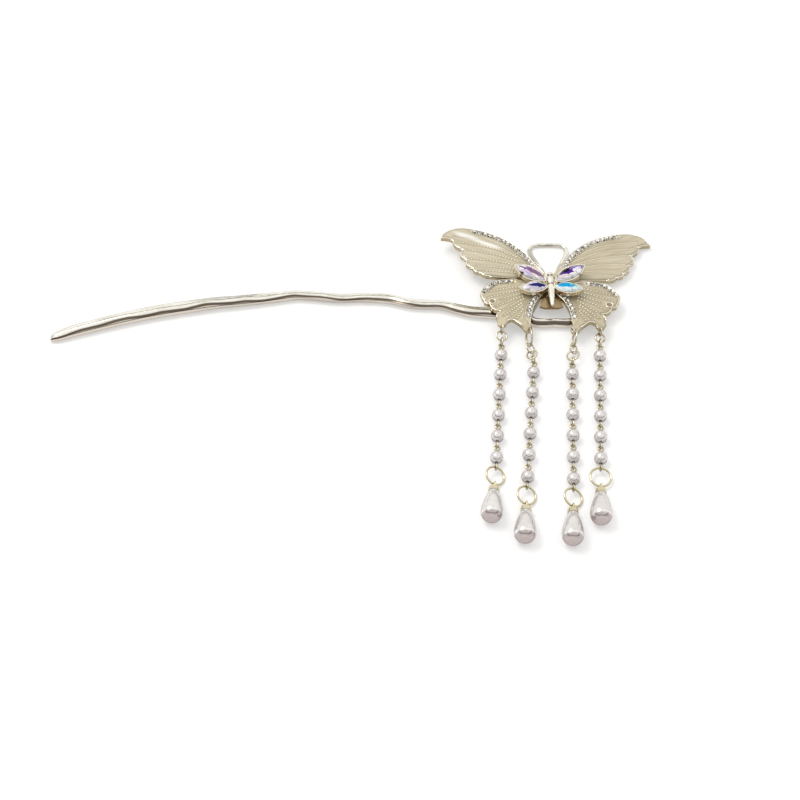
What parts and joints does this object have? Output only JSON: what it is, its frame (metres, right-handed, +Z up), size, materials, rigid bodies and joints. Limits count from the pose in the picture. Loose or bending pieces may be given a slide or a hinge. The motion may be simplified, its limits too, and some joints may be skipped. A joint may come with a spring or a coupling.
{
  "type": "buyao hairpin",
  "caption": "Hammered hair stick ending in an hourglass loop that carries an enamelled butterfly, a small jewelled butterfly and dangling pearl strands.",
  "frame": {"origin": "under the middle of the hairpin's bounding box, on the surface that it lies on", "axes": "+X along the stick from its tip towards the butterfly, +Y away from the hanging strands, +Z up off the surface"},
  "size_m": [0.1802, 0.1167, 0.0084],
  "materials": {
    "stick_metal": "pale champagne silver plating, polished over hand-hammered facets",
    "wing_metal": "pale gold plating, polished rims and beaded ribs",
    "butterfly_metal": "pale gold plating, polished",
    "link_metal": "light antique gold wire",
    "gold_metal": "bright yellow gold plating",
    "enamel": "pearly champagne enamel, glossy",
    "rhinestone": "clear cut crystal",
    "crystal_upper_left": "clear cut crystal with a lilac and pink iridescent coating",
    "crystal_upper_right": "clear cut crystal with a violet iridescent coating",
    "crystal_lower_left": "clear cut crystal with a royal blue iridescent coating",
    "crystal_lower_right": "clear cut crystal with a sky blue iridescent coating",
    "pearl": "white imitation pearl, lustrous",
    "drop_pearl": "grey-white imitation pearl, lustrous"
  },
  "bodies": {
    "root": {"stick": "stick_metal", "wing_frame": "wing_metal", "small_butterfly": "butterfly_metal", "enamel_upper_left": "enamel", "enamel_upper_right": "enamel", "enamel_lower_left": "enamel", "enamel_lower_right": "enamel", "crystal_upper_left": "crystal_upper_left", "crystal_upper_right": "crystal_upper_right", "crystal_lower_left": "crystal_lower_left", "crystal_lower_right": "crystal_lower_right", "stones_upper_left": "rhinestone", "stones_upper_right": "rhinestone", "stones_lower_left": "rhinestone", "stones_lower_right": "rhinestone", "stones_inner_left": "rhinestone", "stones_inner_right": "rhinestone", "strand_links_1": "link_metal", "strand_links_2": "link_metal", "strand_links_3": "link_metal", "strand_links_4": "link_metal", "pearl_1_1": "pearl", "pearl_1_2": "pearl", "pearl_1_3": "pearl", "pearl_1_4": "pearl", "pearl_1_5": "pearl", "pearl_1_6": "pearl", "pearl_2_1": "pearl", "pearl_2_2": "pearl", "pearl_2_3": "pearl", "pearl_2_4": "pearl", "pearl_2_5": "pearl", "pearl_2_6": "pearl", "pearl_3_1": "pearl", "pearl_3_2": "pearl", "pearl_3_3": "pearl", "pearl_3_4": "pearl", "pearl_3_5": "pearl", "pearl_3_6": "pearl", "pearl_4_1": "pearl", "pearl_4_2": "pearl", "pearl_4_3": "pearl", "pearl_4_4": "pearl", "pearl_4_5": "pearl", "pearl_4_6": "pearl", "jump_ring_1": "gold_metal", "jump_ring_2": "gold_metal", "jump_ring_3": "gold_metal", "jump_ring_4": "gold_metal", "drop_cap_1": "gold_metal", "drop_cap_2": "gold_metal", "drop_cap_3": "gold_metal", "drop_cap_4": "gold_metal", "drop_1": "drop_pearl", "drop_2": "drop_pearl", "drop_3": "drop_pearl", "drop_4": "drop_pearl"}
  },
  "joints": []
}
